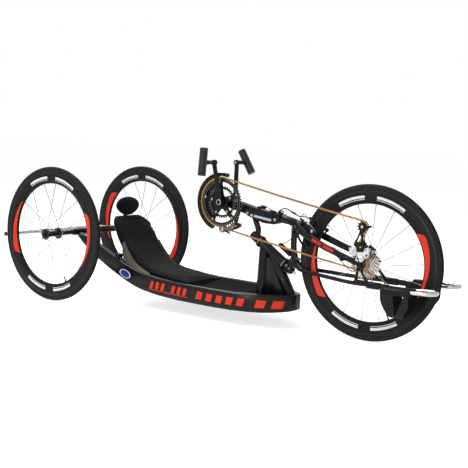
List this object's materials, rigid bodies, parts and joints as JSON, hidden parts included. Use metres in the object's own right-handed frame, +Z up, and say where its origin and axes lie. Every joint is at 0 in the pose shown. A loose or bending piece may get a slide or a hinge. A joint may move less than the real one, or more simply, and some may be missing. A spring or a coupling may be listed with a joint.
{
  "type": "racing handcycle",
  "caption": "Low recumbent handcycle: rear wheels on an axle tube, a curved twin-rail tub with a reclined seat, and a steered fork with hand cranks, chain drive, brakes and footrests.",
  "frame": {"origin": "on the ground, below the middle of the whole machine's length and width", "axes": "+X forward along the machine, +Y to the rider's left, +Z up"},
  "size_m": [2.1536, 0.7276, 0.729],
  "materials": {
    "frame_black": "gloss",
    "fork_black": "gloss",
    "part_black": "satin",
    "tyre_black": "matt",
    "rim_carbon": "semi-gloss",
    "hub_black": "satin black",
    "cushion_fabric": "matt",
    "sling_webbing": "matt",
    "shell_grey": "matt",
    "pan_black": "satin",
    "silver": "polished",
    "steel": "satin",
    "chain_gold": "satin",
    "grip_rubber": "matt",
    "cable_black": "satin"
  },
  "bodies": {
    "frame": {"side_rail_right": "frame_black", "side_rail_left": "frame_black", "mast_rear_leg": "frame_black", "mast_front_leg": "frame_black", "head_tube": "frame_black", "axle_tube": "frame_black", "rear_axle_pin_right": "part_black", "rear_axle_pin_left": "part_black", "front_pan": "pan_black", "seat_shell": "shell_grey", "seat_pad": "cushion_fabric", "seat_support": "part_black", "rear_bar": "silver"},
    "headrest": {"headrest_post": "part_black", "headrest_pad": "cushion_fabric"},
    "fork": {"steerer": "silver", "riser_stem": "fork_black", "crank_boom": "fork_black", "boom_clamp": "part_black", "top_tube": "fork_black", "fork_blade_right": "fork_black", "fork_blade_left": "fork_black", "fork_crown": "fork_black", "lower_tube_right": "fork_black", "lower_tube_left": "fork_black", "chain": "chain_gold", "chain_guard": "part_black", "steering_damper": "part_black", "brake_cable": "cable_black", "gear_cable": "cable_black", "derailleur_body": "silver", "derailleur_cage": "part_black", "front_axle": "part_black"},
    "cranks": {"crank_arm_right": "part_black", "crank_arm_left": "part_black", "chainrings": "part_black"},
    "hand_grip_right": {"grip_right": "grip_rubber"},
    "hand_grip_left": {"grip_left": "grip_rubber"},
    "rear_wheel_right": {"rear_tyre_right": "tyre_black", "rear_rim_right": "rim_carbon", "rear_hub_right": "hub_black"},
    "rear_wheel_left": {"rear_tyre_left": "tyre_black", "rear_rim_left": "rim_carbon", "rear_hub_left": "hub_black"},
    "front_wheel": {"front_tyre": "tyre_black", "front_rim": "rim_carbon", "front_hub": "hub_black"},
    "sprockets": {"cassette": "steel"},
    "upper_pulley": {"tension_pulley": "part_black"},
    "lower_pulley": {"guide_pulley": "part_black"},
    "ring_changer": {"front_derailleur": "part_black"},
    "lever": {"brake_lever": "silver"},
    "rim_brake_right": {"brake_arm_right": "part_black"},
    "rim_brake_left": {"brake_arm_left": "part_black"},
    "parking_brake_right": {"parking_arm_right": "silver"},
    "parking_brake_left": {"parking_arm_left": "silver"},
    "foot_support_right": {"footrest_right": "silver", "heel_sling_right": "sling_webbing"},
    "foot_support_left": {"footrest_left": "silver", "heel_sling_left": "sling_webbing"}
  },
  "joints": [
    {"name": "steering", "type": "hinge", "parent": "frame", "child": "fork", "pos_m": [0.29518, 0, 0.30102], "axis": [-0.8339, 0, 0.5519], "range_deg": [-30, 30]},
    {"name": "hand_crank", "type": "hinge", "parent": "fork", "child": "cranks", "pos_m": [0.05218, 0, 0.49752], "axis": [0, 1, 0], "continuous": true},
    {"name": "grip_spin_right", "type": "hinge", "parent": "cranks", "child": "hand_grip_right", "pos_m": [0.03382, -0.13, 0.66653], "axis": [0, 1, 0], "continuous": true},
    {"name": "grip_spin_left", "type": "hinge", "parent": "cranks", "child": "hand_grip_left", "pos_m": [0.03382, 0.13, 0.66653], "axis": [0, 1, 0], "continuous": true},
    {"name": "rear_wheel_spin_right", "type": "hinge", "parent": "frame", "child": "rear_wheel_right", "pos_m": [-0.71682, -0.3075, 0.30702], "axis": [0, 1, -0.0087], "continuous": true},
    {"name": "rear_wheel_spin_left", "type": "hinge", "parent": "frame", "child": "rear_wheel_left", "pos_m": [-0.71682, 0.3075, 0.30702], "axis": [0, 1, 0.0087], "continuous": true},
    {"name": "front_wheel_spin", "type": "hinge", "parent": "fork", "child": "front_wheel", "pos_m": [0.74118, 0, 0.30702], "axis": [0, 1, 0], "continuous": true},
    {"name": "sprocket_spin", "type": "hinge", "parent": "fork", "child": "sprockets", "pos_m": [0.74118, -0.045, 0.30702], "axis": [0, 1, 0], "continuous": true},
    {"name": "upper_pulley_spin", "type": "hinge", "parent": "fork", "child": "upper_pulley", "pos_m": [0.73818, -0.0585, 0.45202], "axis": [0, 1, 0], "continuous": true},
    {"name": "lower_pulley_spin", "type": "hinge", "parent": "fork", "child": "lower_pulley", "pos_m": [0.74268, -0.0585, 0.37502], "axis": [0, 1, 0], "continuous": true},
    {"name": "ring_changer_slide", "type": "slide", "parent": "fork", "child": "ring_changer", "axis": [0, 1, 0], "range_m": [-0.002, 0.002]},
    {"name": "lever_pull", "type": "hinge", "parent": "fork", "child": "lever", "pos_m": [0.32803, 0, 0.4732], "axis": [0, 1, 0], "range_deg": [0, 18], "stiffness_Nm_per_rad": 0.5, "springref_deg": -11.46},
    {"name": "rim_brake_close_right", "type": "hinge", "parent": "fork", "child": "rim_brake_right", "pos_m": [0.51925, -0.05377, 0.41198], "axis": [0.5329, 0, 0.8462], "range_deg": [-2.6, 0]},
    {"name": "rim_brake_close_left", "type": "hinge", "parent": "fork", "child": "rim_brake_left", "pos_m": [0.51925, 0.05377, 0.41198], "axis": [0.5329, 0, 0.8462], "range_deg": [0, 2.6]},
    {"name": "parking_close_right", "type": "hinge", "parent": "fork", "child": "parking_brake_right", "pos_m": [0.41418, 0, 0.39868], "axis": [0.788, 0, 0.6157], "range_deg": [0, 1.6]},
    {"name": "parking_close_left", "type": "hinge", "parent": "fork", "child": "parking_brake_left", "pos_m": [0.41418, 0, 0.39868], "axis": [0.788, 0, 0.6157], "range_deg": [-1.6, 0]},
    {"name": "footrest_slide_right", "type": "slide", "parent": "fork", "child": "foot_support_right", "axis": [1, 0, 0], "range_m": [-0.025, 0.04]},
    {"name": "footrest_slide_left", "type": "slide", "parent": "fork", "child": "foot_support_left", "axis": [1, 0, 0], "range_m": [-0.025, 0.04]},
    {"name": "headrest_slide", "type": "slide", "parent": "frame", "child": "headrest", "axis": [-0.4419, 0, 0.8971], "range_m": [0, 0.035]}
  ],
  "couplings": [
    {"joint": "sprocket_spin", "follows": "hand_crank", "ratio": 4.3333},
    {"joint": "upper_pulley_spin", "follows": "hand_crank", "ratio": 4.7273},
    {"joint": "lower_pulley_spin", "follows": "hand_crank", "ratio": -4.7273},
    {"joint": "rim_brake_close_right", "follows": "lever_pull", "ratio": -0.13889},
    {"joint": "rim_brake_close_left", "follows": "lever_pull", "ratio": 0.13889},
    {"joint": "parking_close_left", "follows": "parking_close_right", "ratio": -1}
  ]
}
